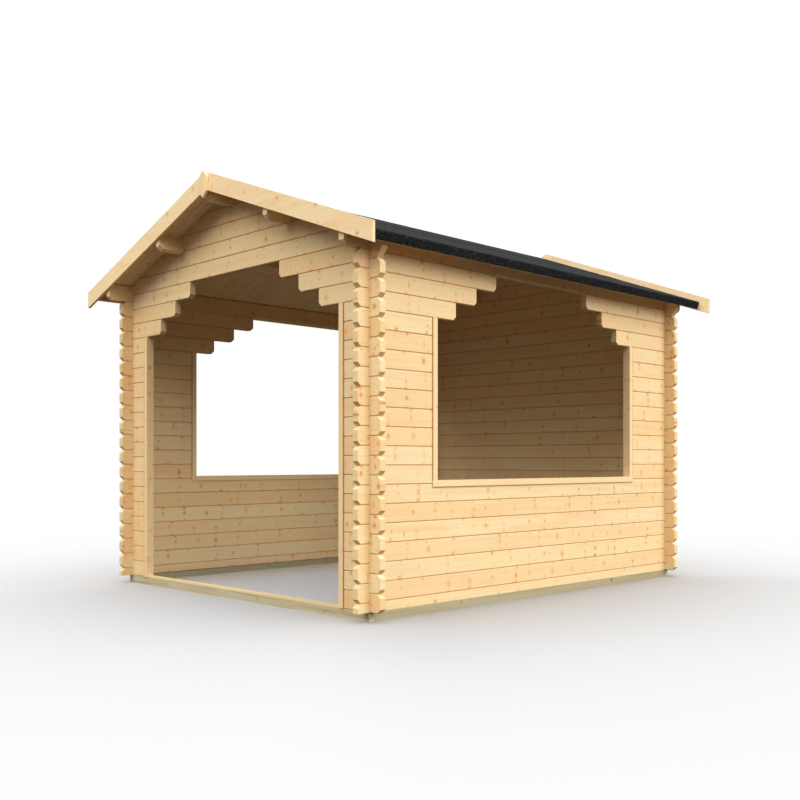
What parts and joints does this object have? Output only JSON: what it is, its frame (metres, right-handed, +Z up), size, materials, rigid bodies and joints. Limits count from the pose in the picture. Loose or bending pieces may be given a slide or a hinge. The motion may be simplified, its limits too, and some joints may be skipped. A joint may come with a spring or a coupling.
{
  "type": "garden shelter",
  "caption": "Open-fronted garden shelter of interlocking logs with stepped log ends over a wide doorway and side windows, under a felted pitched roof.",
  "frame": {"origin": "on the ground, under the middle of the building's bounding box", "axes": "+X to the right along the gable walls, +Y from the doorway to the back, +Z up"},
  "size_m": [3.2588, 3.764, 2.8619],
  "materials": {
    "gable_logs": "planed and untreated",
    "side_logs": "planed and untreated",
    "roof_timbers": "planed and untreated",
    "roof_boards": "planed, bare",
    "edge_boards": "planed and untreated",
    "frame_boards": "planed and untreated",
    "plaque_board": "planed and untreated",
    "bearer_timber": "rough sawn and pressure treated",
    "roofing_felt": "mineral grains, matt"
  },
  "bodies": {
    "root": {"apex_plaque": "plaque_board", "back_bargeboard_left": "edge_boards", "back_bargeboard_right": "edge_boards", "back_bearer": "bearer_timber", "back_gable": "gable_logs", "back_wall": "gable_logs", "door_threshold": "frame_boards", "front_bargeboard_left": "edge_boards", "front_bargeboard_right": "edge_boards", "front_bearer": "bearer_timber", "front_corbels_left": "gable_logs", "front_corbels_right": "gable_logs", "front_gable": "gable_logs", "front_wall_left": "gable_logs", "front_wall_right": "gable_logs", "left_bearer": "bearer_timber", "left_corbels_back": "side_logs", "left_corbels_front": "side_logs", "left_door_jamb": "frame_boards", "left_eave_fascia": "edge_boards", "left_purlin": "roof_timbers", "left_roof_boards": "roof_boards", "left_wall_back": "side_logs", "left_wall_front": "side_logs", "left_wall_lower": "side_logs", "left_wall_plate": "roof_timbers", "left_window_jamb_back": "frame_boards", "left_window_jamb_front": "frame_boards", "left_window_sill": "frame_boards", "ridge_purlin": "roof_timbers", "right_bearer": "bearer_timber", "right_corbels_back": "side_logs", "right_corbels_front": "side_logs", "right_door_jamb": "frame_boards", "right_eave_fascia": "edge_boards", "right_purlin": "roof_timbers", "right_roof_boards": "roof_boards", "right_wall_back": "side_logs", "right_wall_front": "side_logs", "right_wall_lower": "side_logs", "right_wall_plate": "roof_timbers", "right_window_jamb_back": "frame_boards", "right_window_jamb_front": "frame_boards", "right_window_sill": "frame_boards", "roof_felt": "roofing_felt"}
  },
  "joints": []
}
